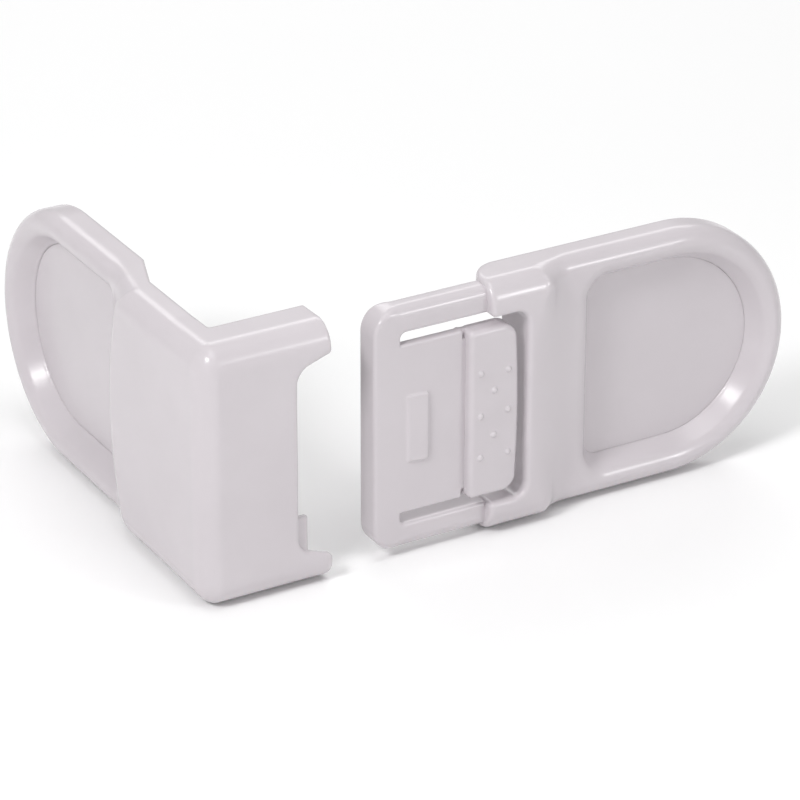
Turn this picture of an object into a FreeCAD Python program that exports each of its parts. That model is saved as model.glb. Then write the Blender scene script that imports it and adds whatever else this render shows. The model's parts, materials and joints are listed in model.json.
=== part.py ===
"""Two-part corner latch for a cabinet door or drawer, built as a parametric FreeCAD document.

The keeper wraps the corner of the cabinet and is glued to its side. The latch is glued to the
door front, and its tongue slides sideways into the keeper. A thumb button on a springy plate
inside the tongue frees the catch.

Axes: +X runs along the door front from keeper to latch, +Y runs back into the cabinet and +Z is
up. The origin is the centre of the keeper's adhesive face. Most pieces are drawn in the corner
frame, whose X = 0 is the keeper's outer side face and whose Y = 0 is the front face, and are then
placed by the two sheet values side_face and front_face.
"""

import FreeCAD
import Part
import Sketcher
import os
import re
from collections import namedtuple

from FreeCAD import Placement, Rotation, Vector

DIMENSIONS = [
    # alias, millimetres, what it is
    ("side_face", -11.3, "x of the keeper's outer side face"),
    ("front_face", -64.8, "y of the front face of keeper and latch"),
    ("shell_depth", 10.3, "front face to the back of the mouldings"),
    ("pad_thick", 1.0, "foam pad thickness"),
    ("pad_radius", 22.5, "round end of the foam pad"),
    ("pad_start", 7.0, "crest of the step to the foam pad's straight edge"),
    ("keeper_half", 25.5, "half the keeper's height"),
    ("keeper_length", 25.8, "keeper's front leg, side face to open end"),
    ("keeper_cover", 7.0, "thickness of the keeper's side cover"),
    ("keeper_crest", 36.6, "front face to the crest of the keeper's step"),
    ("latch_half", 25.0, "half the latch's height"),
    ("latch_start", 58.6, "keeper's side face to the collar's end, with the latch open"),
    ("latch_crest", 70.5, "keeper's side face to the crest of the latch's step"),
    ("edge_round", 4.8, "rounding of the long outer edges"),
    ("corner_round", 5.0, "rounding of the keeper's upright corner"),
    ("step_run", 6.0, "length of the sloping step"),
    ("step_drop", 3.2, "depth of the sloping step"),
    ("paddle_radius", 25.0, "round end of each paddle"),
    ("keeper_centre", 28.2, "crest of the keeper's step to the centre of its round end"),
    ("latch_centre", 29.6, "crest of the latch's step to the centre of its round end"),
    ("shoulder", 20.0, "crest of the step to where the sides of the keeper start to spread"),
    ("rim_round", 3.3, "outer rounding of the paddle's rim"),
    ("flank_lean", 0.6745, "how far the rim's inner flank leans for each millimetre of depth"),
    ("inlay_level", 7.6, "front face to the inlay panel"),
    ("inlay_radius", 18.0, "round end of the inlay panel"),
    ("keeper_inlay_start", 6.5, "crest of the keeper's step to its inlay panel"),
    ("latch_inlay_start", 12.6, "crest of the latch's step to its inlay panel"),
    ("inlay_thick", 1.35, "inlay panel thickness"),
    ("plate_level", 9.0, "front face to the front of each back plate"),
    ("plate_radius", 23.5, "round end of each back plate"),
    ("slip", 0.05, "gap between pieces that are assembled by hand"),
    ("front_wall", 2.0, "keeper's front wall"),
    ("side_wall", 1.8, "keeper's side wall"),
    ("channel_half", 24.2, "half the height of the keeper's channel"),
    ("channel_round", 2.4, "rounding inside the keeper's channel"),
    ("notch_edge", 19.0, "side face to the upright edge of the keeper's notch"),
    ("notch_half", 17.9, "half height of the notch beside its upright edge"),
    ("notch_flare", 1.7, "how much further the notch opens at its mouth"),
    ("notch_round", 2.2, "rounding of the notch's inner corners"),
    ("lip_end", 21.2, "side face to the end of the small lip in the notch"),
    ("lip_level", 1.0, "front face to the lip"),
    ("lip_bottom", -18.6, "lower end of the lip"),
    ("lip_top", -11.3, "upper end of the lip"),
    ("tongue_start", 35.4, "keeper's side face to the tongue's end, with the latch open"),
    ("tongue_half", 24.0, "half the tongue's height"),
    ("tongue_level", 2.2, "front face to the tongue's front"),
    ("tongue_thick", 5.4, "thickness of the tongue"),
    ("tongue_round", 2.2, "rounding of the tongue's long edges"),
    ("tongue_corner", 5.0, "rounding of the tongue's corners seen from the front"),
    ("window_start", 41.0, "keeper's side face to the window in the tongue"),
    ("window_half", 19.05, "half the height of the tongue's window"),
    ("tenon_length", 10.0, "length of each arm inside the collar"),
    ("tenon_middle", 21.8, "height of the middle of each tenon"),
    ("tenon_height", 3.4, "height of each tenon"),
    ("tenon_level", 3.0, "front face to the tenon"),
    ("tenon_thick", 4.0, "thickness of the tenon"),
    ("collar_window", 66.2, "keeper's side face to the right edge of the collar's window"),
    ("collar_corner", 3.2, "cut-off corner at the back of the collar's end"),
    ("collar_half", 18.7, "half the height of the collar's window"),
    ("collar_round", 2.6, "rounding of the collar window's corners"),
    ("flexure_at", 41.95, "keeper's side face to the bending line of the release plate"),
    ("release_level", 2.2, "front face to the release plate"),
    ("release_thick", 2.0, "thickness of the release plate"),
    ("release_half", 16.75, "half the height of the release plate"),
    ("release_end", 53.4, "keeper's side face to the end of the plate's wide part"),
    ("spine_end", 62.3, "keeper's side face to the end of the plate under the button"),
    ("spine_half", 15.1, "half the height of the plate under the button"),
    ("wedge_start", 42.3, "keeper's side face to the thin end of the catch wedge"),
    ("wedge_end", 46.4, "keeper's side face to the steep end of the catch wedge"),
    ("wedge_half", 6.4, "half the height of the catch wedge"),
    ("wedge_rise", 0.6, "how far the catch wedge stands out"),
    ("strike_start", 8.9, "side face to the blind end of the strike pocket"),
    ("strike_land", 14.3, "side face to the strike's land"),
    ("strike_half", 7.3, "half the height of the strike pocket"),
    ("strike_level", 1.0, "front face to the bottom of the strike pocket"),
    ("land_level", 1.5, "front face to the strike's land"),
    ("button_start", 54.2, "keeper's side face to the button"),
    ("button_end", 63.9, "keeper's side face to the button's free edge"),
    ("button_half", 16.7, "half the button's height"),
    ("button_level", 0.4, "front face to the button"),
    ("button_thick", 4.0, "depth of the button"),
    ("button_skin", 1.75, "thickness of the button's top"),
    ("button_wall", 1.55, "thickness of the button's side walls"),
    ("dot_radius", 0.75, "radius of each grip dot"),
    ("dot_rise", 0.45, "how far each grip dot stands out"),
    ("dot_column", 2.8, "distance between the columns of dots"),
    ("dot_pitch", 8.3, "distance between the dots of one column"),
    ("dot_first", 56.4, "keeper's side face to the first column of dots"),
    ("corner_plate_level", 7.9, "front face to the corner plate"),
    ("corner_plate_thick", 1.4, "thickness of the corner plate"),
    ("corner_plate_end", 18.0, "side face to the corner plate's free edge"),
    ("corner_plate_back", 32.0, "front face to the corner plate's back edge"),
    ("screw_radius", 1.0, "screw shank radius"),
    ("head_radius", 1.9, "screw head radius"),
    ("head_thick", 1.0, "screw head thickness"),
    ("screw_length", 5.0, "length under the head of the screws in bosses and tenons"),
    ("rim_screw_length", 4.0, "length under the head of the screws in the paddles' rims"),
    ("rim_screw_radius", 21.2, "radius of the circle of rim screws"),
    ("corner_screw_y", 22.0, "front face to the screws of the corner plate"),
    ("corner_screw_z", 17.0, "height of the screws of the corner plate"),
    ("tenon_screw_x", 63.5, "keeper's side face to the screws in the tenons"),
]

document = FreeCAD.newDocument("CornerLatch")


def make_sheet():
    """The spreadsheet that holds every driving dimension."""
    sheet = document.addObject("Spreadsheet::Sheet", "Dimensions")
    for row, (alias, value, meaning) in enumerate(DIMENSIONS, start=1):
        sheet.set(f"A{row}", meaning)
        sheet.set(f"B{row}", str(value))
        sheet.setAlias(f"B{row}", alias)
    document.recompute()
    return sheet


sheet = make_sheet()


def size(alias):
    """A sheet value as a number, for code that needs one."""
    return float(sheet.get(alias))


def formula(text):
    """Turns the names in a formula into references to the sheet."""
    return re.sub(r"[a-z][a-z_]+", lambda name: "Dimensions." + name.group(), text)


def bind(thing, **formulas):
    """Binds properties of an object, such as Length, to formulas of sheet names."""
    for name, text in formulas.items():
        thing.setExpression(name, formula(text))


def move(thing, x="0", y="0", z="0"):
    """Binds an object's position to formulas."""
    thing.setExpression("Placement.Base.x", formula(x))
    thing.setExpression("Placement.Base.y", formula(y))
    thing.setExpression("Placement.Base.z", formula(z))


# Rotations that carry a drawing plane (u, v, depth) into the corner frame.
FACING_DOOR = Rotation(Vector(1, 0, 0), -90)  # u along X, depth along Y
FACING_SIDE = Rotation(Vector(1, 1, 1), 120)  # u along Y, depth along X


def box(name, x, y, z):
    """A box in the corner frame; each argument is a pair of formulas, from and to."""
    block = document.addObject("Part::Box", name)
    bind(
        block,
        Length=f"({x[1]}) - ({x[0]})",
        Width=f"({y[1]}) - ({y[0]})",
        Height=f"({z[1]}) - ({z[0]})",
    )
    move(block, x[0], y[0], z[0])
    return block


def rod(name, radius, length, x, y, z, rotation):
    """A round rod that starts at a point and runs along the rotated Z axis."""
    cylinder = document.addObject("Part::Cylinder", name)
    bind(cylinder, Radius=radius, Height=length)
    cylinder.Placement = Placement(Vector(0, 0, 0), rotation)
    move(cylinder, x, y, z)
    return cylinder


def fuse(name, pieces):
    """One solid from several."""
    union = document.addObject("Part::MultiFuse", name)
    union.Shapes = pieces
    union.Refine = True
    return union


def cut(name, base, tools):
    """The base less the tools, which are fused first when there are several."""
    difference = document.addObject("Part::Cut", name)
    difference.Base = base
    difference.Tool = tools[0] if len(tools) == 1 else fuse(name + "_tools", tools)
    difference.Refine = True
    return difference


def place_in_row(thing, label):
    """Names a finished sub-part and moves it from the corner frame to the origin."""
    thing.Label = label
    move(thing, "side_face", "front_face", "0")
    return thing


def round_edges(name, base, radius_alias, wanted):
    """Part::Fillet on the edges of base that the function wanted accepts."""
    document.recompute()
    rounding = document.addObject("Part::Fillet", name)
    rounding.Base = base
    radius = size(radius_alias)
    rounding.Edges = [
        (number, radius, radius)
        for number, edge in enumerate(base.Shape.Edges, start=1)
        if wanted(edge)
    ]
    return rounding


def near(value, target):
    """True within a hundredth of a millimetre."""
    return abs(value - target) < 0.01


def ends(edge, axis):
    """The lowest and highest coordinate of an edge along x, y or z."""
    limits = edge.BoundBox
    return getattr(limits, axis.upper() + "Min"), getattr(limits, axis.upper() + "Max")


def lies_at(edge, axis, target):
    """True if the whole edge is at one value of a coordinate."""
    return all(near(value, target) for value in ends(edge, axis))


def spans(edge, axis):
    """How far an edge reaches along an axis."""
    low, high = ends(edge, axis)
    return high - low


# ---------------------------------------------------------------- PartDesign pieces


def plane_of(body, role):
    """One of a body's own origin planes, found by its role."""
    return next(item for item in body.Origin.OriginFeatures if item.Role == role)


def new_sketch(body, name, offset="0"):
    """A sketch on the body's XY plane, raised by a formula."""
    sketch = body.newObject("Sketcher::SketchObject", name)
    sketch.AttachmentSupport = [(plane_of(body, "XY_Plane"), "")]
    sketch.MapMode = "FlatFace"
    sketch.setExpression("AttachmentOffset.Base.z", formula(offset))
    return sketch


def draw_polygon(sketch, corners):
    """A closed outline; each corner is a pair of formulas."""
    document.recompute()
    points = [Vector(evaluate(x), evaluate(y), 0) for x, y in corners]
    count = len(points)
    for index in range(count):
        line = Part.LineSegment(points[index], points[(index + 1) % count])
        sketch.addGeometry(line, False)
    for index in range(count):
        joined = Sketcher.Constraint("Coincident", index, 2, (index + 1) % count, 1)
        sketch.addConstraint(joined)
    for index, (x, y) in enumerate(corners):
        pin_point(sketch, index, 1, f"corner{index}", x, y)


def pin_point(sketch, geometry, point, name, x, y):
    """Fixes one point of a sketch by two formulas; a zero is an axis constraint."""
    for kind, text, suffix, axis in (("DistanceX", x, "x", -2), ("DistanceY", y, "y", -1)):
        if near(evaluate(text), 0):
            sketch.addConstraint(Sketcher.Constraint("PointOnObject", geometry, point, axis))
        else:
            sketch.addConstraint(
                Sketcher.Constraint(kind, -1, 1, geometry, point, evaluate(text))
            )
            index = sketch.ConstraintCount - 1
            sketch.renameConstraint(index, name + suffix)
            sketch.setExpression(f"Constraints.{name}{suffix}", formula(text))


def evaluate(text):
    """The value of a formula of sheet names, from the sheet itself."""
    return float(sheet.evalExpression(text))


def draw_paddle_outline(sketch, centre_name, start, radius):
    """A D: straight on the left at start, with a round end of the given radius."""
    left, centre, reach = evaluate(start), size(centre_name), evaluate(radius)
    top = Part.LineSegment(Vector(centre, reach, 0), Vector(left, reach, 0))
    side = Part.LineSegment(Vector(left, reach, 0), Vector(left, -reach, 0))
    bottom = Part.LineSegment(Vector(left, -reach, 0), Vector(centre, -reach, 0))
    circle = Part.Circle(Vector(centre, 0, 0), Vector(0, 0, 1), reach)
    round_end = Part.ArcOfCircle(circle, -QUARTER_TURN, QUARTER_TURN)
    for part_of_outline in (top, side, bottom, round_end):
        sketch.addGeometry(part_of_outline, False)
    for first, second in ((0, 1), (1, 2)):
        sketch.addConstraint(Sketcher.Constraint("Coincident", first, 2, second, 1))
    sketch.addConstraint(Sketcher.Constraint("Coincident", 2, 2, 3, 1))
    sketch.addConstraint(Sketcher.Constraint("Coincident", 3, 2, 0, 1))
    sketch.addConstraint(Sketcher.Constraint("DistanceX", -1, 1, 3, 3, centre))
    sketch.setExpression(f"Constraints[{sketch.ConstraintCount - 1}]", formula(centre_name))
    pin_point(sketch, 0, 1, "top_right", centre_name, radius)
    pin_point(sketch, 1, 1, "top_left", start, radius)
    pin_point(sketch, 2, 1, "bottom_left", start, f"-({radius})")
    pin_point(sketch, 2, 2, "bottom_right", centre_name, f"-({radius})")


def pad(body, name, sketch, length):
    """Pads a sketch along its normal by a formula."""
    feature = body.newObject("PartDesign::Pad", name)
    feature.Profile = sketch
    bind(feature, Length=length)
    sketch.Visibility = False
    return feature


def round_body(body, name, radius, wanted):
    """A PartDesign fillet on the edges of the body's tip that the function wanted accepts."""
    document.recompute()
    below = body.Tip
    edges = [
        f"Edge{number}"
        for number, edge in enumerate(below.Shape.Edges, start=1)
        if wanted(edge)
    ]
    rounding = body.newObject("PartDesign::Fillet", name)
    rounding.Base = (below, edges)
    bind(rounding, Radius=radius)
    body.Tip = rounding
    return rounding


def body_at(name, rotation, x="0", y="0", z="0"):
    """An empty body, turned and placed in the corner frame."""
    body = document.addObject("PartDesign::Body", name)
    body.Placement = Placement(Vector(0, 0, 0), rotation)
    move(body, x, y, z)
    return body


def paddle_plate(name, paddle, start, radius, level, thickness):
    """A flat D-shaped plate that lies in one of the paddles."""
    body = body_at(name, paddle.rotation, *paddle.place)
    sketch = new_sketch(body, name + "_outline", level)
    draw_paddle_outline(sketch, paddle.centre, start, radius)
    pad(body, name + "_pad", sketch, thickness)
    return body


def draw_shell_outline(sketch, centre_name, start, half):
    """The whole outline of a shell seen from its front, from its start to its round end."""
    centre, reach = size(centre_name), size("paddle_radius")
    corners = [
        (centre_name, "paddle_radius"),
        ("-shoulder", "paddle_radius"),
        (start, half),
        (start, f"-{half}"),
        ("-shoulder", "-paddle_radius"),
        (centre_name, "-paddle_radius"),
    ]
    points = [Vector(evaluate(u), evaluate(v), 0) for u, v in corners]
    for first, second in zip(points, points[1:]):
        sketch.addGeometry(Part.LineSegment(first, second), False)
    circle = Part.Circle(Vector(centre, 0, 0), Vector(0, 0, 1), reach)
    sketch.addGeometry(Part.ArcOfCircle(circle, -QUARTER_TURN, QUARTER_TURN), False)
    last = len(points) - 1
    for index in range(last):
        follower = index + 1
        sketch.addConstraint(Sketcher.Constraint("Coincident", index, 2, follower, 1))
    sketch.addConstraint(Sketcher.Constraint("Coincident", last, 2, 0, 1))
    sketch.addConstraint(Sketcher.Constraint("DistanceX", -1, 1, last, 3, centre))
    sketch.setExpression(f"Constraints[{sketch.ConstraintCount - 1}]", formula(centre_name))
    for index, (u, v) in enumerate(corners[:-1]):
        pin_point(sketch, index, 1, f"corner{index}", u, v)
    pin_point(sketch, last - 1, 2, f"corner{last}", *corners[-1])


def shell_block(paddle, start, half, depth, plan):
    """A shell's outside: its front outline and its plan, each padded, and what they share."""
    name = paddle.name
    front = body_at(name + "_front", paddle.rotation, *paddle.place)
    outline = new_sketch(front, name + "_outline")
    draw_shell_outline(outline, paddle.centre, start, half)
    pad(front, name + "_front_pad", outline, depth)
    above = document.addObject("PartDesign::Body", name + "_above")
    sketch = new_sketch(above, name + "_plan", "-keeper_half - 1")
    draw_polygon(sketch, plan)
    pad(above, name + "_plan_pad", sketch, "keeper_half * 2 + 2")
    block = document.addObject("Part::MultiCommon", name + "_block")
    block.Shapes = [front, above]
    return block


def skin_depth(along):
    """How far the outer skin lies behind the front face, at a distance from the crest."""
    share = min(max(along / size("step_run"), 0), 1)
    return share * size("step_drop")


def skin_radius(depth):
    """The outer rounding where the skin is at a depth: large at the front, less on the rim."""
    share = min(max(depth / size("step_drop"), 0), 1)
    return size("edge_round") + share * (size("rim_round") - size("edge_round"))


def round_skin(name, base, locate):
    """Rounds the long outer edges of a block; locate gives a point's distances from crest and
    front face, or None where the point isn't on the outer skin."""
    document.recompute()
    rounding = document.addObject("Part::Fillet", name)
    rounding.Base = base
    wanted = []
    for number, edge in enumerate(base.Shape.Edges, start=1):
        low, high = edge.ParameterRange
        first, middle, last = (edge.valueAt(at) for at in (low, (low + high) / 2, high))
        depths = [locate(point) for point in (first, middle, last)]
        if None in depths:
            continue
        across = abs(middle.z) < 1 and (middle - first).dot(middle - last) < 0
        moved = Vector(middle.x - first.x, middle.y - first.y, 0).Length
        if across and moved < 1:
            continue
        wanted.append((number, skin_radius(depths[0]), skin_radius(depths[2])))
    rounding.Edges = wanted
    return rounding


def paddle_cutters(paddle):
    """The sloping recess, the inlay's opening and the rebate for the back plate."""
    name = paddle.name
    recess = body_at(name + "_recess", paddle.rotation, *paddle.place)
    crown = new_sketch(recess, name + "_recess_outline", "-1")
    lead = "(inlay_level + 1) * flank_lean"
    start = f"{paddle.inlay_start} - {lead}"
    draw_paddle_outline(crown, paddle.centre, start, f"inlay_radius + {lead}")
    sloping = pad(recess, name + "_recess_pad", crown, "inlay_level + 1")
    sloping.TaperAngle = RECESS_TAPER
    seat = body_at(name + "_seat", paddle.rotation, *paddle.place)
    opening = new_sketch(seat, name + "_seat_outline", "inlay_level - slip")
    start = f"{paddle.inlay_start} - slip"
    draw_paddle_outline(opening, paddle.centre, start, "inlay_radius + slip")
    pad(seat, name + "_seat_pad", opening, "shell_depth - inlay_level + 1")
    back = body_at(name + "_back", paddle.rotation, *paddle.place)
    rebate = new_sketch(back, name + "_back_outline", "plate_level")
    start = f"{paddle.plate_start} - slip"
    draw_paddle_outline(rebate, paddle.centre, start, "plate_radius + slip")
    pad(back, name + "_back_pad", rebate, "shell_depth - plate_level + 1")
    return [recess, seat, back]


RECESS_TAPER = -34.0  # the rim's inner flank leans this far from square, in degrees
QUARTER_TURN = 1.5707963267948966

Paddle = namedtuple("Paddle", "name rotation place centre inlay_start plate_start")
KEEPER = Paddle(
    "keeper",
    FACING_SIDE,
    ("0", "keeper_crest", "0"),
    "keeper_centre",
    "keeper_inlay_start",
    "step_run + 0.55",
)
LATCH = Paddle(
    "latch",
    FACING_DOOR,
    ("latch_crest", "0", "0"),
    "latch_centre",
    "latch_inlay_start",
    "step_run - 8.45",
)


def paddle_parts(paddle):
    """The inlay, back plate and foam pad that both paddles have."""
    sheets = {
        "_inlay": (paddle.inlay_start, "inlay_radius", "inlay_level", "inlay_thick"),
        "_back_plate": (
            paddle.plate_start,
            "plate_radius",
            "plate_level",
            "shell_depth - plate_level",
        ),
        "_adhesive_pad": ("pad_start", "pad_radius", "shell_depth", "pad_thick"),
    }
    made = {}
    for suffix, (start, radius, level, thickness) in sheets.items():
        made[suffix] = paddle_plate(paddle.name + suffix, paddle, start, radius, level, thickness)
    return made


# ---------------------------------------------------------------- screws


def rim_screw_places(paddle):
    """Where the screws enter a paddle's rim, as formulas of u and v from the crest."""
    first_u = f"{paddle.centre} - 18"
    diagonal = f"{paddle.centre} + rim_screw_radius * 0.7071"
    return [
        (first_u, "rim_screw_radius"),
        (first_u, "-rim_screw_radius"),
        (diagonal, "rim_screw_radius * 0.7071"),
        (diagonal, "-rim_screw_radius * 0.7071"),
    ]


def screw(name, tip, rotation, extra="0"):
    """A plain screw from its tip: shank, then head, both along the rotated Z axis."""
    *start, along, length = tip
    shank = rod(name + "_shank", f"screw_radius + {extra}", f"{length} + 0.01", *start, rotation)
    start[along] = f"({start[along]}) + {length}"
    head = rod(name + "_head", f"head_radius + {extra}", f"head_thick + {extra}", *start, rotation)
    return [shank, head]


ALONG_X = Rotation(Vector(0, 1, 0), 90)
ALONG_Y = Rotation(Vector(1, 0, 0), -90)
CLEARANCE = "0.02"


def keeper_rim_tips():
    """The tips of the screws through the keeper's back plate; they point back along X."""
    depth = "shell_depth - head_thick - rim_screw_length"
    places = rim_screw_places(KEEPER)
    return [(depth, f"keeper_crest + {u}", v, 0, "rim_screw_length") for u, v in places]


def latch_rim_tips():
    """The tips of the screws through the latch's back plate; they point back along Y."""
    depth = "shell_depth - head_thick - rim_screw_length"
    places = rim_screw_places(LATCH)
    return [(f"latch_crest + {u}", depth, v, 1, "rim_screw_length") for u, v in places]


def corner_tips():
    """The tips of the screws through the corner plate."""
    depth = "keeper_cover - screw_length"
    heights = ("corner_screw_z", "-corner_screw_z")
    return [(depth, "corner_screw_y", height, 0, "screw_length") for height in heights]


def tenon_tips():
    """The tips of the screws through the collar into the two tenons."""
    depth = "shell_depth - head_thick - screw_length"
    heights = ("tenon_middle", "-tenon_middle")
    return [("tenon_screw_x", depth, height, 1, "screw_length") for height in heights]


def screw_group(label, tips, rotation):
    """Identical screws as one sub-part of separate solids."""
    solids = []
    for number, tip in enumerate(tips, start=1):
        solids.append(fuse(f"{label}_{number}", screw(f"{label}_{number}", tip, rotation)))
    group = document.addObject("Part::Compound", label)
    group.Links = solids
    return place_in_row(group, label)


def screw_holes(name, tips, rotation):
    """Cutters for the same screws, a little larger."""
    cutters = []
    for number, tip in enumerate(tips, start=1):
        cutters += screw(f"{name}_{number}", tip, rotation, CLEARANCE)
    return cutters


# ---------------------------------------------------------------- keeper


def keeper_outside():
    """The keeper's outside: front leg, side cover, step and paddle, with rounded edges."""
    block = shell_block(
        KEEPER,
        "-keeper_crest",
        "keeper_half",
        "keeper_length",
        [
            ("0", "0"),
            ("keeper_length", "0"),
            ("keeper_length", "shell_depth"),
            ("keeper_cover", "shell_depth"),
            ("keeper_cover", "keeper_crest - 4"),
            ("shell_depth", "keeper_crest + step_run - 1"),
            ("shell_depth", "keeper_crest + keeper_centre + paddle_radius + 1"),
            ("step_drop", "keeper_crest + keeper_centre + paddle_radius + 1"),
            ("step_drop", "keeper_crest + step_run"),
            ("0", "keeper_crest"),
        ],
    )

    def upright(edge):
        return lies_at(edge, "x", 0) and lies_at(edge, "y", 0)

    cornered = round_edges("keeper_corner", block, "corner_round", upright)
    crest = size("keeper_crest")
    radius = size("corner_round")

    def locate(point):
        depth = skin_depth(point.y - crest)
        from_corner = Vector(point.x - radius, point.y - radius, 0).Length
        on_corner = max(point.x, point.y) < radius and near(from_corner, radius)
        if near(point.x, depth) or near(point.y, 0) or on_corner:
            return depth
        return None

    return round_skin("keeper_edges", cornered, locate)


def keeper_hollow():
    """The channel for the tongue and the space behind the side cover, with rounded edges."""
    body = document.addObject("PartDesign::Body", "keeper_hollow_body")
    sketch = new_sketch(body, "keeper_hollow_plan", "-channel_half")
    draw_polygon(
        sketch,
        [
            ("side_wall", "front_wall"),
            ("keeper_length + 1", "front_wall"),
            ("keeper_length + 1", "shell_depth + 1"),
            ("keeper_cover + 1", "shell_depth + 1"),
            ("keeper_cover + 1", "corner_plate_back + slip"),
            ("side_wall", "corner_plate_back + slip"),
        ],
    )
    pad(body, "keeper_hollow_prism", sketch, "channel_half * 2")
    side, front = size("side_wall"), size("front_wall")

    def upright(edge):
        return lies_at(edge, "x", side) and lies_at(edge, "y", front)

    def outer_edge(edge):
        on_wall = lies_at(edge, "x", side) or lies_at(edge, "y", front)
        return on_wall and spans(edge, "z") < 0.01

    round_body(body, "keeper_hollow_corner", "channel_round", upright)
    round_body(body, "keeper_hollow_edges", "channel_round", outer_edge)
    return body


def notch_cutter():
    """The flared notch in the front wall, with rounded inner corners."""
    body = body_at("notch_space", FACING_DOOR, "0", "-1", "0")
    sketch = new_sketch(body, "notch_outline")
    mouth = "notch_half + notch_flare + 0.3"
    draw_polygon(
        sketch,
        [
            ("notch_edge", "-notch_half"),
            ("keeper_length + 1", f"-({mouth})"),
            ("keeper_length + 1", mouth),
            ("notch_edge", "notch_half"),
        ],
    )
    pad(body, "notch_prism", sketch, "front_wall + 1.5")
    left = size("notch_edge")

    def inner_corner(edge):
        return lies_at(edge, "x", left) and spans(edge, "z") > 1

    round_body(body, "notch_corners", "notch_round", inner_corner)
    return body


def strike_cutters():
    """The pocket that the catch wedge drops into, and the shallower land beside it."""
    height = ("-strike_half", "strike_half")
    pocket_space = box(
        "strike_pocket", ("strike_start", "strike_land"), ("strike_level", "front_wall + 0.5"), height
    )
    land_space = box(
        "strike_land_space",
        ("strike_start", "notch_edge + 0.5"),
        ("land_level", "front_wall + 0.5"),
        height,
    )
    return [pocket_space, land_space]


def make_keeper():
    """Shell, inlay, plates, pad and screws of the keeper."""
    outside = keeper_outside()
    bosses = [
        rod(f"boss_{number}", "screw_radius + 1.6", "keeper_cover - corner_plate_thick - 1",
            "1", "corner_screw_y", sign + "corner_screw_z", ALONG_X)
        for number, sign in enumerate(("", "-"), start=1)
    ]
    cutters = [keeper_hollow(), notch_cutter()] + strike_cutters()
    cutters += paddle_cutters(KEEPER)
    hollow = cut("keeper_hollowed", outside, cutters)
    lip = box(
        "notch_lip",
        ("notch_edge - 1", "lip_end"),
        ("lip_level", "front_wall"),
        ("lip_bottom", "lip_top"),
    )
    whole = fuse("keeper_whole", [hollow, lip] + bosses)
    holes = screw_holes("keeper_rim_hole", keeper_rim_tips(), ALONG_X)
    holes += screw_holes("keeper_corner_hole", corner_tips(), ALONG_X)
    shell = cut("keeper_shell_solid", whole, holes)
    place_in_row(shell, "keeper_shell")

    made = paddle_parts(KEEPER)
    plate = cut(
        "keeper_plate_drilled",
        made["_back_plate"],
        screw_holes("keeper_plate_hole", keeper_rim_tips(), ALONG_X),
    )
    return {
        "keeper_shell": shell,
        "keeper_inlay": wrap("keeper_inlay", made["_inlay"]),
        "keeper_back_plate": place_in_row(plate, "keeper_back_plate"),
        "keeper_corner_plate": corner_plate(),
        "keeper_adhesive_pad": wrap("keeper_adhesive_pad", made["_adhesive_pad"]),
        "keeper_plate_screws": screw_group("keeper_plate_screws", keeper_rim_tips(), ALONG_X),
        "keeper_corner_screws": screw_group("keeper_corner_screws", corner_tips(), ALONG_X),
    }


def wrap(label, body):
    """A body drawn in the corner frame, as a sub-part in the row's frame."""
    group = document.addObject("Part::Compound", label + "_placed")
    group.Links = [body]
    return place_in_row(group, label)


def corner_plate():
    """The L-shaped plate that closes the keeper's back behind the tongue's channel."""
    body = document.addObject("PartDesign::Body", "corner_plate_body")
    sketch = new_sketch(body, "corner_plate_plan", "-channel_half + slip")
    inner = "keeper_cover - corner_plate_thick"
    draw_polygon(
        sketch,
        [
            (inner, "corner_plate_level"),
            ("corner_plate_end", "corner_plate_level"),
            ("corner_plate_end", "corner_plate_level + corner_plate_thick"),
            ("keeper_cover", "corner_plate_level + corner_plate_thick"),
            ("keeper_cover", "corner_plate_back"),
            (inner, "corner_plate_back"),
        ],
    )
    pad(body, "corner_plate_prism", sketch, "(channel_half - slip) * 2")
    drilled = cut("corner_plate_drilled", body, screw_holes("corner_plate_hole", corner_tips(), ALONG_X))
    return place_in_row(drilled, "keeper_corner_plate")


# ---------------------------------------------------------------- latch


def latch_outside():
    """The latch's outside: collar, step and paddle, with rounded edges."""
    block = shell_block(
        LATCH,
        "latch_start - latch_crest",
        "latch_half",
        "shell_depth",
        [
            ("latch_start", "0"),
            ("latch_crest", "0"),
            ("latch_crest + step_run", "step_drop"),
            ("latch_crest + latch_centre + paddle_radius + 1", "step_drop"),
            ("latch_crest + latch_centre + paddle_radius + 1", "shell_depth"),
            ("latch_start + collar_corner", "shell_depth"),
            ("latch_start", "shell_depth - collar_corner"),
        ],
    )
    crest = size("latch_crest")

    def locate(point):
        depth = skin_depth(point.x - crest)
        return depth if near(point.y, depth) else None

    return round_skin("latch_edges", block, locate)


def collar_window():
    """The opening that closes round the button, with rounded corners."""
    opening = box(
        "window_space",
        ("latch_start - 1", "collar_window"),
        ("-1", "shell_depth + 1"),
        ("-collar_half", "collar_half"),
    )
    right = size("collar_window")

    def right_corner(edge):
        return lies_at(edge, "x", right) and spans(edge, "y") > 1

    return round_edges("window", opening, "collar_round", right_corner)


def tenon_boxes(name, gap):
    """Two tenons, or the two sockets that take them when a gap is given."""
    boxes = []
    for number, sign in enumerate(("", "-"), start=1):
        middle = sign + "tenon_middle"
        boxes.append(
            box(
                f"{name}_{number}",
                ("latch_start - 0.5", f"latch_start + tenon_length + {gap}"),
                (f"tenon_level - {gap}", f"tenon_level + tenon_thick + {gap}"),
                (f"{middle} - tenon_height / 2 - {gap}", f"{middle} + tenon_height / 2 + {gap}"),
            )
        )
    return boxes


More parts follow.
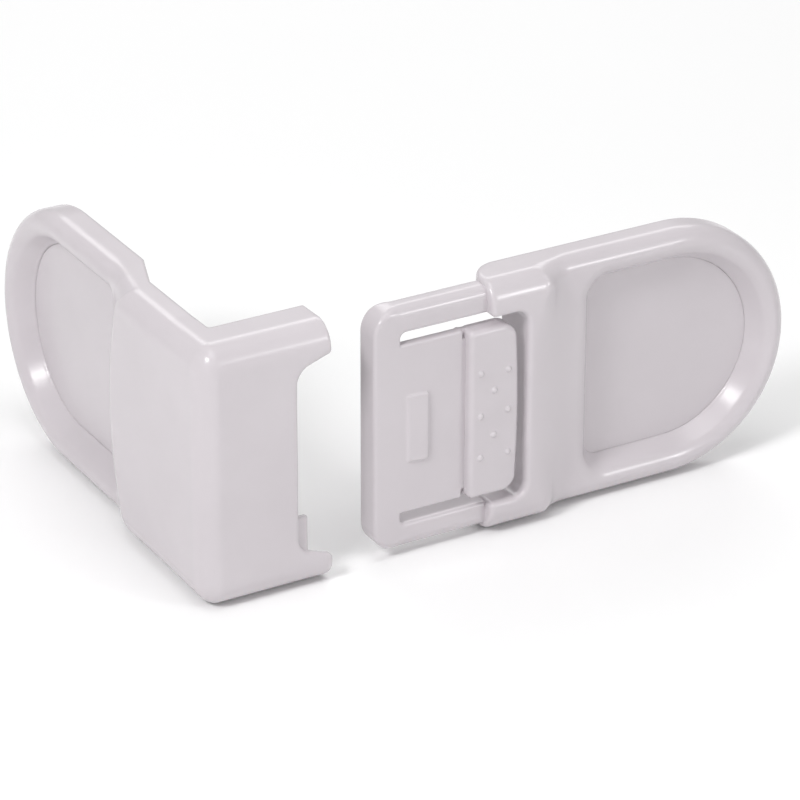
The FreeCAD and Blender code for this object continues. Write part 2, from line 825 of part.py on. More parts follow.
def make_latch():
    """Shell, inlay, plate, pad, screws and the tongue frame of the latch."""
    outside = latch_outside()
    core_space = box(
        "core_space",
        ("collar_window + 1.8", "latch_crest + latch_inlay_start - 3.5"),
        ("step_drop + 1.8", "shell_depth + 1"),
        ("-tenon_middle + 6", "tenon_middle - 6"),
    )
    cutters = [collar_window(), core_space] + tenon_boxes("socket", "slip")
    cutters += paddle_cutters(LATCH)
    cutters += screw_holes("latch_rim_hole", latch_rim_tips(), ALONG_Y)
    cutters += screw_holes("latch_tenon_hole", tenon_tips(), ALONG_Y)
    shell = cut("latch_shell_solid", outside, cutters)
    place_in_row(shell, "latch_shell")

    made = paddle_parts(LATCH)
    plate = cut(
        "latch_plate_drilled",
        made["_back_plate"],
        screw_holes("latch_plate_hole", latch_rim_tips(), ALONG_Y),
    )
    return {
        "latch_shell": shell,
        "latch_inlay": wrap("latch_inlay", made["_inlay"]),
        "latch_back_plate": place_in_row(plate, "latch_back_plate"),
        "latch_adhesive_pad": wrap("latch_adhesive_pad", made["_adhesive_pad"]),
        "latch_plate_screws": screw_group("latch_plate_screws", latch_rim_tips(), ALONG_Y),
        "tongue_screws": screw_group("tongue_screws", tenon_tips(), ALONG_Y),
        "tongue_frame": tongue_frame(),
    }


def tongue_frame():
    """The rounded frame that slides into the keeper, with two tenons for the collar."""
    slab = box(
        "tongue_slab",
        ("tongue_start", "latch_start"),
        ("tongue_level", "tongue_level + tongue_thick"),
        ("-tongue_half", "tongue_half"),
    )
    start = size("tongue_start")
    join = size("latch_start")

    def front_corner(edge):
        return lies_at(edge, "x", start) and spans(edge, "y") > 1

    cornered = round_edges("tongue_corners", slab, "tongue_corner", front_corner)

    def long_edge(edge):
        flat = spans(edge, "y") < 0.01
        return flat and not lies_at(edge, "x", join)

    bar = round_edges("tongue_bar", cornered, "tongue_round", long_edge)
    opening = box(
        "tongue_opening",
        ("window_start", "latch_start + 1"),
        ("0", "shell_depth"),
        ("-window_half", "window_half"),
    )
    trough = rod(
        "flexure_trough", "release_thick / 2 + 0.1", "release_half * 2 + 0.4",
        "flexure_at", "release_level + release_thick / 2", "-release_half - 0.2", Rotation(),
    )
    open_frame = cut("open_frame", bar, [opening, trough])
    whole = fuse("tongue_whole", [open_frame] + tenon_boxes("tenon", "0"))
    holes = screw_holes("tenon_hole", tenon_tips(), ALONG_Y)
    drilled = cut("tongue_frame_solid", whole, holes)
    return place_in_row(drilled, "tongue_frame")


# ---------------------------------------------------------------- release tab


def release_plate():
    """The springy plate: round root, wide part, narrow part under the button, catch wedge."""
    middle = "release_level + release_thick / 2"
    root = rod(
        "release_root", "release_thick / 2", "release_half * 2",
        "flexure_at", middle, "-release_half", Rotation(),
    )
    depth = ("release_level", "release_level + release_thick")
    wide = box("release_wide", ("flexure_at", "release_end"), depth, ("-release_half", "release_half"))
    narrow = box("release_spine", ("release_end - 1", "spine_end"), depth, ("-spine_half", "spine_half"))
    body = document.addObject("PartDesign::Body", "wedge_body")
    sketch = new_sketch(body, "wedge_side", "-wedge_half")
    draw_polygon(
        sketch,
        [
            ("wedge_start", "release_level"),
            ("wedge_start", "release_level + 0.5"),
            ("wedge_end", "release_level + 0.5"),
            ("wedge_end", "release_level - wedge_rise"),
            ("wedge_end - 0.6", "release_level - wedge_rise"),
        ],
    )
    pad(body, "wedge_prism", sketch, "wedge_half * 2")
    return place_in_row(fuse("release_plate_solid", [root, wide, narrow, body]), "release_plate")


def dot_places():
    """Columns of three, two and three dots, the middle column half a pitch out of step."""
    places = []
    for column, count in enumerate((3, 2, 3)):
        for row in range(count):
            offset = row - (count - 1) / 2
            places.append((f"dot_first + dot_column * {column}", f"dot_pitch * {offset}"))
    return places


def thumb_button():
    """The cap on the end of the plate, with its grip dots."""
    block = box(
        "button_block",
        ("button_start", "button_end"),
        ("button_level", "button_level + button_thick"),
        ("-button_half", "button_half"),
    )
    right = size("button_end")

    def free_corner(edge):
        return lies_at(edge, "x", right) and spans(edge, "y") > 1

    cornered = round_edges("button_corners", block, "button_wall", free_corner)
    front = size("button_level")

    def front_edge(edge):
        return lies_at(edge, "y", front)

    softened = round_edges("button_softened", cornered, "dot_radius", front_edge)
    under = box(
        "button_under",
        ("button_start - 1", "button_end - button_wall"),
        ("button_level + button_skin", "button_level + button_thick + 1"),
        ("-button_half + button_wall", "button_half - button_wall"),
    )
    cap = cut("button_cap", softened, [under])
    dots = []
    sphere_radius = "(dot_radius * dot_radius + dot_rise * dot_rise) / (2 * dot_rise)"
    for number, (x, z) in enumerate(dot_places(), start=1):
        dot = document.addObject("Part::Sphere", f"dot_{number}")
        bind(dot, Radius=sphere_radius)
        move(dot, x, f"button_level - dot_rise + {sphere_radius}", z)
        dots.append(dot)
    return place_in_row(fuse("thumb_button_solid", [cap] + dots), "thumb_button")


# ---------------------------------------------------------------- build, test, write


def check_document():
    """Stops if any object failed to compute."""
    failed = [
        item.Name for item in document.Objects if {"Invalid", "Error"} & set(item.State)
    ]
    if failed:
        raise RuntimeError(f"these objects failed: {failed}")


def write_parts(parts):
    """Tests each sub-part's shape and writes its STEP file."""
    os.makedirs("parts", exist_ok=True)
    for label, thing in parts.items():
        shape = thing.Shape
        if shape.isNull() or not shape.isValid() or not shape.Solids:
            raise RuntimeError(f"{label} has no valid solid")
        print(f"{label}: {len(shape.Solids)} solids, {shape.Volume:.1f} mm3")
        shape.exportStep(f"parts/{label}.step")


def main():
    """Builds every sub-part and writes them out."""
    parts = {}
    parts.update(make_keeper())
    parts.update(make_latch())
    parts["release_plate"] = release_plate()
    parts["thumb_button"] = thumb_button()
    document.recompute()
    check_document()
    write_parts(parts)


main()
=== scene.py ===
"""Studio scene of a two-part corner safety latch: an L-shaped keeper and a sliding tongue.

Shapes are described as distance fields in millimetres in the corner frame, where X = 0 is the
keeper's outer side face, Y = 0 the front face and Z = 0 half the height. A field is negative
inside the solid. Each is turned into a smooth mesh and moved into the frame of the CAD model.
"""

import json
import math

import bpy
import numpy as np
from mathutils import Matrix, Vector


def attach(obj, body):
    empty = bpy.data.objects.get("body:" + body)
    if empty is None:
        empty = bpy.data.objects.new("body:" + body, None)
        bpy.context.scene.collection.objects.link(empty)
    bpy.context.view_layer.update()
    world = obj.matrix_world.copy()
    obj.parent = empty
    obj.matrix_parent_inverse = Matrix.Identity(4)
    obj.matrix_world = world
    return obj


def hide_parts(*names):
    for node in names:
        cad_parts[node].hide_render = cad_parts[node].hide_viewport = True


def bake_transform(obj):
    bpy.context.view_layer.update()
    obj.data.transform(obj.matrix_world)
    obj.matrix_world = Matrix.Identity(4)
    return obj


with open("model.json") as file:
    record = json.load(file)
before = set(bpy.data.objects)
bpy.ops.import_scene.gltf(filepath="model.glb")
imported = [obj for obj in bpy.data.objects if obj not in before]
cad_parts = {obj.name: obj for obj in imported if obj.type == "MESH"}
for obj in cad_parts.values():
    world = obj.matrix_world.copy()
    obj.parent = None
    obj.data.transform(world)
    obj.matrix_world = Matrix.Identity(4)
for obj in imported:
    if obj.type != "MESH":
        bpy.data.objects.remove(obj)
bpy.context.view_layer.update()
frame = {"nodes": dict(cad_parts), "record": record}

SIDE_FACE = -11.3  # x of the keeper's outer side face in the model, mm
FRONT_FACE = -64.8  # y of the front face in the model, mm

# ---------------------------------------------------------------- distance fields


def both(a, b, r=0.0):
    """Inside a and b, with the edge between them rounded to radius r."""
    outside = np.hypot(np.maximum(a + r, 0), np.maximum(b + r, 0))
    return np.minimum(-r, np.maximum(a, b)) + outside


def either(a, b, r=0.0):
    """Inside a or b, with a fillet of radius r between them."""
    inside = np.hypot(np.maximum(r - a, 0), np.maximum(r - b, 0))
    return np.maximum(r, np.minimum(a, b)) - inside


def less(a, b, r=0.0):
    """Inside a but outside b, with the edge rounded to radius r."""
    return both(a, -b, r)


def smooth(t):
    """An S-curve from 0 to 1."""
    t = np.clip(t, 0, 1)
    return t * t * (3 - 2 * t)


def slab(value, low, high, r=0.0):
    """Between two planes."""
    return both(low - value, value - high, r)


def block(x, y, z, r=0.0):
    """A box from three (value, low, high) triples."""
    return both(both(slab(*x), slab(*y), r), slab(*z), r)


def paddle(u, v, centre, radius, start, corner=0.0):
    """A D: straight at u = start, with a round end about u = centre."""
    sides = np.where(u > centre, np.hypot(u - centre, v) - radius, np.abs(v) - radius)
    return both(sides, start - u, corner)


def step_skin(u, w, crest, foot, crest_round, foot_round):
    """Behind the outer skin: flat to the crest, then a slope, then flat again from the foot."""
    rise = DROP / (foot - crest)
    slope_side = ((u - crest) * rise - w) / np.hypot(1, rise)
    return either(both(-w, slope_side, crest_round), DROP - w, foot_round)


# ---------------------------------------------------------------- sizes, mm

DEPTH = 10.3  # front face to the back of the mouldings
DROP = 3.2  # depth of the sloping step
RUN = 6.0  # length of the sloping step
FRONT_ROUND = 4.8  # rounding of the long outer edges
RIM_ROUND = 3.4  # rounding of the paddle's outer edge

PADDLE_R = 25.0
PANEL_R = 18.0
PANEL_CORNER = 2.6
PANEL_DEPTH = 7.6
PANEL_GAP = 0.05  # play round the inlay panel
FLANK = math.radians(34)  # lean of the rim's inner flank
BACK_PLATE_R = 23.55
BACK_PLATE_DEPTH = 9.0

KEEPER_CREST = 36.6  # front face to the crest of the keeper's step
KEEPER_CENTRE = 28.2  # crest of the keeper's step to the centre of its round end
KEEPER_REACH = KEEPER_CREST + KEEPER_CENTRE + PADDLE_R
KEEPER_PANEL = 6.5  # crest of the keeper's step to its inlay panel
KEEPER_END = 25.8  # side face to the right end of the keeper's front arm
KEEPER_HALF = 25.5  # half the keeper's height at the front face
KEEPER_TAPER = 16.6  # how far back the height narrows to the paddle's
SLOPE_RUN = 4.6  # length of the keeper's slope
CREST_BOW = 5.0  # how far the crest's ends lie ahead of its middle
CORNER_BACK = 32.6  # front face to the back of the hollow corner

NOTCH_START = 19.0  # side face to the left edge of the notch
NOTCH_HALF = 17.65  # half the notch's height at its left edge
NOTCH_LEAN = 0.345  # how much that grows for each millimetre to the right
STRIKE_HALF = 7.3

COLLAR_START = 58.6  # side face to the left end of the latch's collar
COLLAR_CORNER = 5.6  # rounding at the back of the collar's end
WINDOW_END = 66.2  # side face to the right edge of the collar's window
WINDOW_HALF = 18.7
LATCH_CREST = 70.5  # side face to the crest of the latch's step
LATCH_CENTRE = 29.6  # crest of the latch's step to the centre of its round end
LATCH_REACH = LATCH_CREST + LATCH_CENTRE + PADDLE_R
LATCH_PANEL = 12.6  # crest of the latch's step to its inlay panel
SCREW_X = 63.5
SCREW_HEIGHT = 21.8
SCREW_HEAD_R = 1.95

TONGUE_START = 35.4  # side face to the left end of the tongue
TONGUE_HALF = 24.0
TONGUE_LEVEL = 2.2  # front face to the front of the tongue and its plate
TONGUE_BACK = 7.6
CROSS_BAR_END = 41.0
BARS_END = 59.4  # right ends of the two bars, inside the collar
BARS_HALF = 19.05  # half the height between the two bars
PLATE_BACK = 4.2
PLATE_HALF = 16.76
PLATE_END = 53.7
SPINE_END = 62.3  # right end of the plate's narrow part
WEDGE_START = 42.2
WEDGE_END = 46.4

BUTTON_START = 54.2
BUTTON_END = 63.9
BUTTON_HALF = 16.7
BUTTON_FRONT = 0.4
BUTTON_BACK = 4.4
DOT_R = 0.62
DOT_RISE = 0.45
DOTS = [(56.4, 8.2), (56.4, -0.3), (56.4, -8.6), (59.2, 4.4), (59.2, -4.5)]  # (x, z)
DOTS += [(62.1, 7.9), (62.1, -0.1), (62.1, -8.7)]


def rim_rounding(t):
    """The rounding of the outer edge, from the front part (t = 0) to the paddle (t = 1)."""
    return FRONT_ROUND + (RIM_ROUND - FRONT_ROUND) * np.clip(t, 0, 1)


def carve_paddle(body, place, centre, panel_start, plate_start, corner):
    """Sinks the sloping recess, the inlay's opening and the back plate's rebate into a body."""
    u, v, w = place
    panel = paddle(u, v, centre, PANEL_R, panel_start, corner)
    flank = (panel - (PANEL_DEPTH - w) * math.tan(FLANK)) * math.cos(FLANK)
    body = less(body, both(flank, w - PANEL_DEPTH, 0.5), 1.4)
    opening = paddle(u, v, centre, PANEL_R + PANEL_GAP, panel_start - PANEL_GAP, corner)
    body = less(body, opening)
    plate = paddle(u, v, centre, BACK_PLATE_R, plate_start)
    return less(body, both(plate, BACK_PLATE_DEPTH - w))


def keeper_outside(x, y, z):
    """The keeper's outside: front arm, side face, sloping step and paddle."""
    u, v, w = y - KEEPER_CREST, z, x
    crest = 0.3 - CREST_BOW * (v / 24.7) ** 2
    side_skin = step_skin(u, w, crest, crest + SLOPE_RUN, 0.9, 2.5)
    skin = both(side_skin, -y, 4.6)
    half = KEEPER_HALF - (KEEPER_HALF - PADDLE_R) * np.clip(y / KEEPER_TAPER, 0, 1)
    round_end = np.hypot(u - KEEPER_CENTRE, v) - PADDLE_R
    ends = np.where(u > KEEPER_CENTRE, round_end, np.abs(v) - half)
    body = both(skin, ends, rim_rounding((u - crest) / 5.0))
    body = both(body, x - KEEPER_END, 0.5)
    inner = 7.0 + (DEPTH - 7.0) * np.clip((y - CORNER_BACK) / 9.0, 0, 1)
    return less(body, both(inner - x, DEPTH - y, 0.6), 0.4)


def keeper_field(x, y, z):
    """The keeper's moulding, with its hollow corner, notch, lip and strike pocket."""
    high = np.abs(z)
    hollow = both(both(1.8 - x, 2.0 - y, 2.4), high - 24.2, 2.4)
    body = less(keeper_outside(x, y, z), both(hollow, y - 32.05), 0.3)
    edge = NOTCH_HALF + NOTCH_LEAN * (x - NOTCH_START)
    flare = (high - edge) / math.hypot(1, NOTCH_LEAN)
    notch = both(both(NOTCH_START - x, flare, 2.3), y - 3.4)
    body = less(body, notch, 0.6)
    lip = block((x, 18.0, 21.2), (y, 1.0, 2.0), (z, -19.0, -11.3), 0.25)
    body = either(body, lip, 0.15)
    strike = either(
        block((x, 8.9, 14.3), (y, 1.0, 2.5), (z, -STRIKE_HALF, STRIKE_HALF)),
        block((x, 8.9, 19.5), (y, 1.5, 2.5), (z, -STRIKE_HALF, STRIKE_HALF)),
    )
    place = (y - KEEPER_CREST, z, x)
    return carve_paddle(less(body, strike), place, KEEPER_CENTRE, KEEPER_PANEL, RUN + 0.5, 0.5)


def latch_field(x, y, z):
    """The latch's moulding: collar, step and paddle."""
    u, v, w = x - LATCH_CREST, z, y
    edge = np.clip((v / 24) ** 2, 0, 1)
    foot = RUN - 2.4 * edge
    front = step_skin(u, w, -0.4 + 1.2 * edge, foot, 1.8 - 1.0 * edge, 3.5 - 2.5 * edge)
    sides = np.where(u > LATCH_CENTRE, np.hypot(u - LATCH_CENTRE, v), np.abs(v)) - PADDLE_R
    body = both(sides, front, rim_rounding((u + 0.6) / (foot + 0.6)))
    body = both(body, both(w - DEPTH, COLLAR_START - x, COLLAR_CORNER), 0.9)
    window = both(x - WINDOW_END, np.abs(z) - WINDOW_HALF, 2.6)
    body = less(body, window, 0.9)
    for height in (-SCREW_HEIGHT, SCREW_HEIGHT):
        head = np.hypot(x - SCREW_X, z - height) - SCREW_HEAD_R
        body = less(body, both(head, 9.28 - y))
    return carve_paddle(body, (u, v, w), LATCH_CENTRE, LATCH_PANEL, RUN - 8.5, PANEL_CORNER)


def plate_field(x, y, z):
    """The springy plate: wide part, web, narrow spine under the button, and the catch wedge."""
    high = np.abs(z)
    wide = both(slab(y, TONGUE_LEVEL, PLATE_BACK), high - PLATE_HALF, 0.45)
    plate = both(wide, slab(x, 39.0, PLATE_END), 0.5)
    web = block((x, 53.0, 55.4), (y, 2.9, PLATE_BACK), (z, -16.7, 16.7), 0.3)
    spine = block((x, 53.0, SPINE_END), (y, 2.25, PLATE_BACK), (z, -15.1, 15.1))
    plate = either(either(plate, web, 0.5), spine)
    top = TONGUE_LEVEL - 0.3 - 0.3 * np.clip((x - 42.3) / 3.5, 0, 1)
    wedge = both((top - y) * 0.98, high - 6.6, 0.25)
    wedge = both(wedge, slab(x, WEDGE_START, WEDGE_END, 0.3), 0.25)
    return either(plate, both(wedge, y - 3.0), 0.2)


def tongue_field(x, y, z):
    """The tongue's frame with the springy plate that grows out of its bar."""
    high = np.abs(z)
    outline = both(TONGUE_START - x, high - TONGUE_HALF, 5.0)
    edge = 0.7 + 1.5 * smooth((x - 36.5) / 5.0)
    body = both(both(outline, TONGUE_LEVEL - y, edge), y - TONGUE_BACK, edge)
    body = both(body, x - BARS_END)
    body = less(body, both(CROSS_BAR_END - x, high - BARS_HALF, 1.1), 0.7)
    return either(body, plate_field(x, y, z))


def button_field(x, y, z):
    """The thumb button with its grip dots."""
    bulge = 0.6 * (1 - np.clip(z / BUTTON_HALF, -1, 1) ** 2)
    across = both(BUTTON_START - x, x - BUTTON_END - bulge)
    corner = np.where(x > 59, 2.8, 1.0)
    outline = both(across, np.abs(z) - BUTTON_HALF, corner)
    body = both(outline, BUTTON_FRONT - y, 1.0)
    body = both(body, y - BUTTON_BACK, 0.3)
    under = block((x, 55.4, SPINE_END + 0.05), (y, 2.15, 9.0), (z, -15.15, 15.15))
    body = less(body, under)
    radius = (DOT_R**2 + DOT_RISE**2) / (2 * DOT_RISE)
    middle = BUTTON_FRONT - DOT_RISE + radius
    for column, height in DOTS:
        ball = np.sqrt((x - column) ** 2 + (y - middle) ** 2 + (z - height) ** 2) - radius
        body = either(body, ball, 0.08)
    return body


# ---------------------------------------------------------------- fields to meshes


def crossed_edges(value, axis):
    """The grid edges along an axis that the surface crosses: places and the values at both ends."""
    start = [slice(None)] * 3
    stop = [slice(None)] * 3
    start[axis] = slice(0, -1)
    stop[axis] = slice(1, None)
    first, last = value[tuple(start)], value[tuple(stop)]
    index = np.argwhere((first < 0) != (last < 0))
    at = tuple(index.T)
    return index, first[at], last[at]


def net_vertices(value, low, cell):
    """One vertex in each cell that the surface crosses: a table of numbers and their places."""
    shape = np.array(value.shape) - 1
    total = np.zeros((*shape, 3), np.float32)
    count = np.zeros(shape, np.float32)
    for axis in range(3):
        index, first, last = crossed_edges(value, axis)
        point = index.astype(np.float32)
        point[:, axis] += first / (first - last)
        across = [a for a in range(3) if a != axis]
        for back_one in (0, 1):
            for back_two in (0, 1):
                at = index.copy()
                at[:, across[0]] -= back_one
                at[:, across[1]] -= back_two
                ok = np.all((at >= 0) & (at < shape), axis=1)
                places = tuple(at[ok].T)
                np.add.at(total, places, point[ok])
                np.add.at(count, places, 1)
    used = count > 0
    number = np.full(shape, -1, np.int64)
    number[used] = np.arange(int(used.sum()))
    points = total[used] / count[used][:, None] * cell + low
    return number, points


def net_faces(value, number):
    """A quad round each grid edge that the surface crosses."""
    faces = []
    for axis in range(3):
        one, two = (axis + 1) % 3, (axis + 2) % 3
        index, first, _last = crossed_edges(value, axis)
        limit = np.array(number.shape)
        ok = (index[:, one] > 0) & (index[:, two] > 0)
        ok &= (index[:, one] < limit[one]) & (index[:, two] < limit[two])
        index = index[ok]
        ring = []
        for back_one, back_two in ((1, 1), (0, 1), (0, 0), (1, 0)):
            at = index.copy()
            at[:, one] -= back_one
            at[:, two] -= back_two
            ring.append(number[tuple(at.T)])
        quads = np.stack(ring, axis=1)
        rising = first[ok] < 0
        quads[~rising] = quads[~rising][:, ::-1]
        faces.append(quads)
    return np.concatenate(faces)


def slope(field, points, step=0.02):
    """The field's gradient at points."""
    columns = []
    for axis in range(3):
        shift = np.zeros(3)
        shift[axis] = step
        ahead, behind = (points + shift).T, (points - shift).T
        columns.append((field(*ahead) - field(*behind)) / (2 * step))
    return np.stack(columns, axis=1)


def surface(field, low, high, cell):
    """Vertices, in millimetres, and quads of the surface where a field is zero."""
    low = np.array(low, float) - 1.5 * cell
    counts = np.ceil((np.array(high) + 1.5 * cell - low) / cell).astype(int) + 1
    grid = [low[a] + cell * np.arange(counts[a]) for a in range(3)]
    sheets = []
    for x in grid[0]:
        y, z = np.meshgrid(grid[1], grid[2], indexing="ij")
        sheets.append(field(np.full_like(y, x), y, z))
    value = np.stack(sheets)
    number, points = net_vertices(value, low, cell)
    points = points.astype(float)
    for _turn in range(3):
        steep = slope(field, points)
        length = np.maximum((steep**2).sum(axis=1), 0.05)
        move = field(*points.T) / length
        move = np.clip(move, -0.5 * cell, 0.5 * cell)
        points -= steep * move[:, None]
    return points, net_faces(value, number)


def make_mesh(name, points, faces):
    """A smooth-shaded object in the model's frame from corner-frame millimetres."""
    used, renumbered = np.unique(faces, return_inverse=True)
    faces = renumbered.reshape(faces.shape)
    points = points[used]
    points = (points + np.array([SIDE_FACE, FRONT_FACE, 0.0])) / 1000
    mesh = bpy.data.meshes.new(name)
    mesh.vertices.add(len(points))
    mesh.vertices.foreach_set("co", points.astype(np.float32).ravel())
    mesh.loops.add(faces.size)
    mesh.loops.foreach_set("vertex_index", faces.astype(np.int32).ravel())
    mesh.polygons.add(len(faces))
    mesh.polygons.foreach_set("loop_start", (np.arange(len(faces)) * 4).astype(np.int32))
    mesh.update(calc_edges=True)
    mesh.validate()
    mesh.shade_smooth()
    obj = bpy.data.objects.new(name, mesh)
    bpy.context.scene.collection.objects.link(obj)
    return obj


COARSE = 1.0

# ---------------------------------------------------------------- materials


def new_material(name):
    """A node material: its tree and its shader."""
    material = bpy.data.materials.new(name)
    material.use_nodes = True
    tree = material.node_tree
    return material, tree, tree.nodes["Principled BSDF"]


def noise(tree, scale, detail=3.0, rough=0.5):
    """A noise texture in the piece's own coordinates, in units per metre."""
    place = tree.nodes.new("ShaderNodeTexCoord")
    texture = tree.nodes.new("ShaderNodeTexNoise")
    texture.inputs["Scale"].default_value = scale
    texture.inputs["Detail"].default_value = detail
    texture.inputs["Roughness"].default_value = rough
    tree.links.new(place.outputs["Object"], texture.inputs["Vector"])
    return texture.outputs["Fac"]


def spread(tree, value, low, high):
    """Maps a noise value onto a range."""
    node = tree.nodes.new("ShaderNodeMapRange")
    node.inputs["From Min"].default_value = 0.3
    node.inputs["From Max"].default_value = 0.7
    node.inputs["To Min"].default_value = low
    node.inputs["To Max"].default_value = high
    tree.links.new(value, node.inputs["Value"])
    return node.outputs["Result"]


def vary_colour(tree, shader, value, dark, light):
    """Colours the shader between two tones."""
    ramp = tree.nodes.new("ShaderNodeValToRGB")
    ramp.color_ramp.elements[0].position = 0.3
    ramp.color_ramp.elements[0].color = (*dark, 1)
    ramp.color_ramp.elements[1].position = 0.7
    ramp.color_ramp.elements[1].color = (*light, 1)
    tree.links.new(value, ramp.inputs["Fac"])
    tree.links.new(ramp.outputs["Color"], shader.inputs["Base Color"])


def add_bump(tree, shader, value, distance, strength):
    """A fine bump from a noise value."""
    bump = tree.nodes.new("ShaderNodeBump")
    bump.inputs["Distance"].default_value = distance
    bump.inputs["Strength"].default_value = strength
    tree.links.new(value, bump.inputs["Height"])
    tree.links.new(bump.outputs["Normal"], shader.inputs["Normal"])


def plastic(name, dark, light, gloss, bump_scale=260.0, bump_depth=0.00003):
    """Moulded plastic: faint mottling, uneven gloss and a slight moulding ripple."""
    material, tree, shader = new_material(name)
    vary_colour(tree, shader, noise(tree, 45.0), dark, light)
    patches = spread(tree, noise(tree, 120.0, 5.0), *gloss)
    tree.links.new(patches, shader.inputs["Roughness"])
    add_bump(tree, shader, noise(tree, bump_scale, 2.0), bump_depth, 0.35)
    shader.inputs["IOR"].default_value = 1.5
    return material


def steel(name):
    """Zinc-plated steel with fine scratches."""
    material, tree, shader = new_material(name)
    vary_colour(tree, shader, noise(tree, 400.0), (0.5, 0.5, 0.51), (0.66, 0.66, 0.66))
    shader.inputs["Metallic"].default_value = 1.0
    tree.links.new(spread(tree, noise(tree, 900.0), 0.25, 0.45), shader.inputs["Roughness"])
    add_bump(tree, shader, noise(tree, 2500.0), 0.00002, 0.4)
    return material


SHELL_PLASTIC = plastic(
    "shell_plastic", (0.595, 0.555, 0.582), (0.625, 0.585, 0.612), (0.21, 0.27)
)
PLATE_PLASTIC = plastic(
    "plate_plastic", (0.55, 0.52, 0.54), (0.60, 0.57, 0.59), (0.42, 0.55), 900.0, 0.00005
)
FOAM = plastic("foam_tape", (0.74, 0.74, 0.73), (0.82, 0.82, 0.81), (0.8, 0.95), 3000.0, 0.0002)
STEEL = steel("plated_steel")

MATERIAL_OF_SLOT = {
    "shell": SHELL_PLASTIC,
    "inlay": SHELL_PLASTIC,
    "tongue": SHELL_PLASTIC,
    "button": SHELL_PLASTIC,
    "plate": PLATE_PLASTIC,
    "foam": FOAM,
    "screw": STEEL,
}


def finish_with(obj, material):
    """Gives an object one material."""
    obj.data.materials.clear()
    obj.data.materials.append(material)


for part in frame["record"]["subparts"]:
    finish_with(frame["nodes"][part["node"]], MATERIAL_OF_SLOT[part["material_slot"]])

# ---------------------------------------------------------------- visible pieces


def show(name, field, low, high, cell, body, node):
    """Meshes a field and puts it in place of a CAD node."""
    points, faces = surface(field, low, high, cell * COARSE)
    obj = make_mesh(name, points, faces)
    finish_with(obj, SHELL_PLASTIC)
    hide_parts(node)
    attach(obj, body)


show(
    "keeper_moulding",
    keeper_field,
    (0, 0, -KEEPER_HALF),
    (KEEPER_END, KEEPER_REACH, KEEPER_HALF),
    0.36,
    "keeper",
    "keeper_shell",
)
show(
    "latch_moulding",
    latch_field,
    (COLLAR_START, 0, -PADDLE_R),
    (LATCH_REACH, DEPTH, PADDLE_R),
    0.34,
    "latch",
    "latch_shell",
)
show(
    "button_cap",
    button_field,
    (BUTTON_START, BUTTON_FRONT - DOT_RISE, -BUTTON_HALF),
    (64.5, BUTTON_BACK, BUTTON_HALF),
    0.17,
    "release_tab",
    "thumb_button",
)


def show_tongue():
    """The tongue and its springy plate from one surface, parted where the plate bends."""
    low, high = (TONGUE_START, 1.6, -TONGUE_HALF), (SPINE_END, TONGUE_BACK, TONGUE_HALF)
    points, faces = surface(tongue_field, low, high, 0.26 * COARSE)
    middle = points[faces].mean(axis=1)
    springy = (middle[:, 0] > CROSS_BAR_END) & (np.abs(middle[:, 2]) < 17.9)
    fixed = make_mesh("tongue_bars", points, faces[~springy])
    plate = make_mesh("springy_plate", points, faces[springy])
    for obj, node in ((fixed, "tongue_frame"), (plate, "release_plate")):
        finish_with(obj, SHELL_PLASTIC)
        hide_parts(node)
    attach(fixed, "latch")
    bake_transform(plate)


show_tongue()

# ---------------------------------------------------------------- studio


FLOOR_LEVEL = -0.0257


def make_floor():
    """A wide pale floor under the latch."""
    bpy.ops.mesh.primitive_plane_add(size=12, location=(0, 0, FLOOR_LEVEL))
    floor = bpy.context.object
    floor.name = "studio_floor"
    material, tree, shader = new_material("pale_floor")
    vary_colour(tree, shader, noise(tree, 3.0), (0.93, 0.93, 0.93), (0.95, 0.95, 0.95))
    shader.inputs["Roughness"].default_value = 0.9
    shader.inputs["Specular IOR Level"].default_value = 0.1
    finish_with(floor, material)


def toward(azimuth, elevation):
    """The unit vector at an azimuth from the door's normal, to the right, and an elevation."""
    level = math.cos(elevation)
    return Vector((math.sin(azimuth) * level, -math.cos(azimuth) * level, math.sin(elevation)))


def add_softbox(name, direction, distance, width, height, power, aim=(0.035, -0.05, 0)):
    """A soft area light that faces the latch from a direction (azimuth, elevation)."""
    azimuth, elevation = (math.radians(angle) for angle in direction)
    away = toward(azimuth, elevation)
    data = bpy.data.lights.new(name, "AREA")
    data.shape = "RECTANGLE"
    data.size = width
    data.size_y = height
    data.energy = power
    light = bpy.data.objects.new(name, data)
    light.location = Vector(aim) + away * distance
    light.rotation_euler = away.to_track_quat("Z", "Y").to_euler()
    bpy.context.scene.collection.objects.link(light)


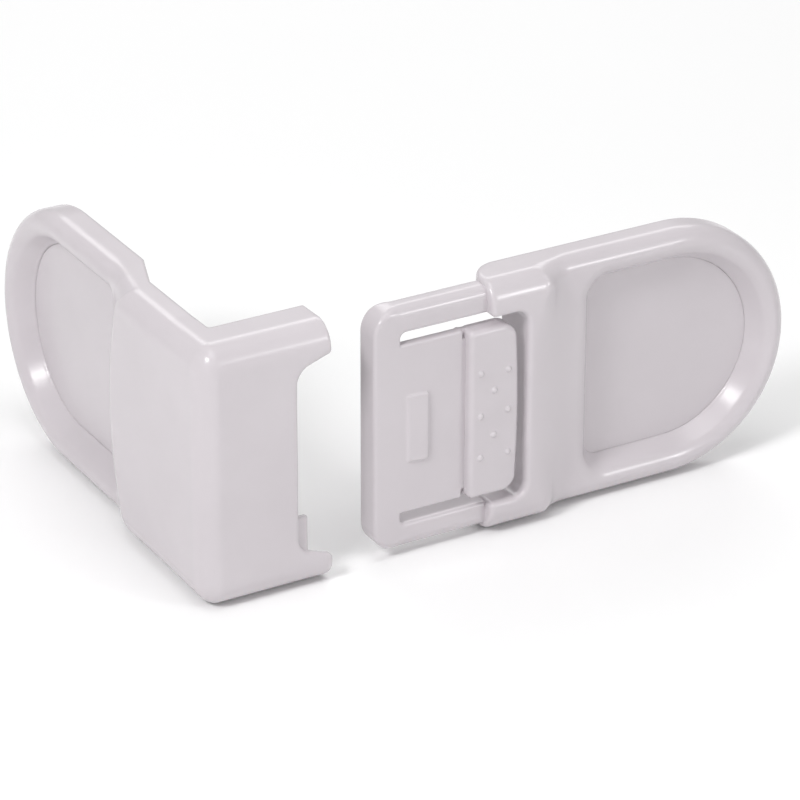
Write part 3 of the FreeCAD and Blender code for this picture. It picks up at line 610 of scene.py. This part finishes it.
def light_room():
    """An even pale room: softboxes at the left, right and top, and one for the floor behind."""
    world = bpy.data.worlds.new("studio_world")
    world.use_nodes = True
    bpy.context.scene.world = world
    background = world.node_tree.nodes["Background"]
    background.inputs["Color"].default_value = (1.0, 1.0, 1.0, 1)
    background.inputs["Strength"].default_value = 0.42
    add_softbox("key_softbox", (-66, 42), 0.7, 0.16, 0.16, 2.2)
    add_softbox("front_softbox", (32, 24), 0.8, 0.12, 0.12, 0.9)
    add_softbox("top_softbox", (-20, 78), 0.8, 0.5, 0.5, 1.7)
    add_softbox("floor_softbox", (-31, 88), 0.7, 1.0, 0.5, 5.0, aim=(0.45, 0.75, -0.02))


make_floor()
light_room()

# ---------------------------------------------------------------- camera

VIEW_AZIMUTH = math.radians(31.25)  # how far the camera stands to the left of the door's normal
VIEW_ELEVATION = math.radians(26.55)
VIEW_ROLL = math.radians(0.69)
VIEW_DISTANCE = 0.77512
VIEW_TARGET = Vector((0.0487, -0.0598, 0.0))
FOCAL = 5.36375  # focal length over the frame's width
OFF_CENTRE = (0.10605, -0.00135)  # where the target lies, right and up, over the frame's width


def add_camera():
    """A long-lens camera at the given angles, aimed so that the frame needs no shift."""
    away = toward(-VIEW_AZIMUTH, VIEW_ELEVATION)
    ahead = -away
    level = Vector((math.cos(VIEW_AZIMUTH), -math.sin(VIEW_AZIMUTH), 0))
    above = level.cross(ahead)
    right = level * math.cos(VIEW_ROLL) + above * math.sin(VIEW_ROLL)
    up = above * math.cos(VIEW_ROLL) - level * math.sin(VIEW_ROLL)
    ahead = ahead - right * (OFF_CENTRE[0] / FOCAL) - up * (OFF_CENTRE[1] / FOCAL)
    ahead.normalize()
    right = (right - ahead * right.dot(ahead)).normalized()
    up = right.cross(ahead)
    data = bpy.data.cameras.new("camera")
    data.lens = data.sensor_width * FOCAL
    data.clip_start = 0.01
    camera = bpy.data.objects.new("camera", data)
    turn = Matrix((right, up, -ahead)).transposed().to_4x4()
    camera.matrix_world = Matrix.Translation(VIEW_TARGET + away * VIEW_DISTANCE) @ turn
    bpy.context.scene.collection.objects.link(camera)
    bpy.context.scene.camera = camera


add_camera()
bpy.context.scene.view_settings.view_transform = "Standard"
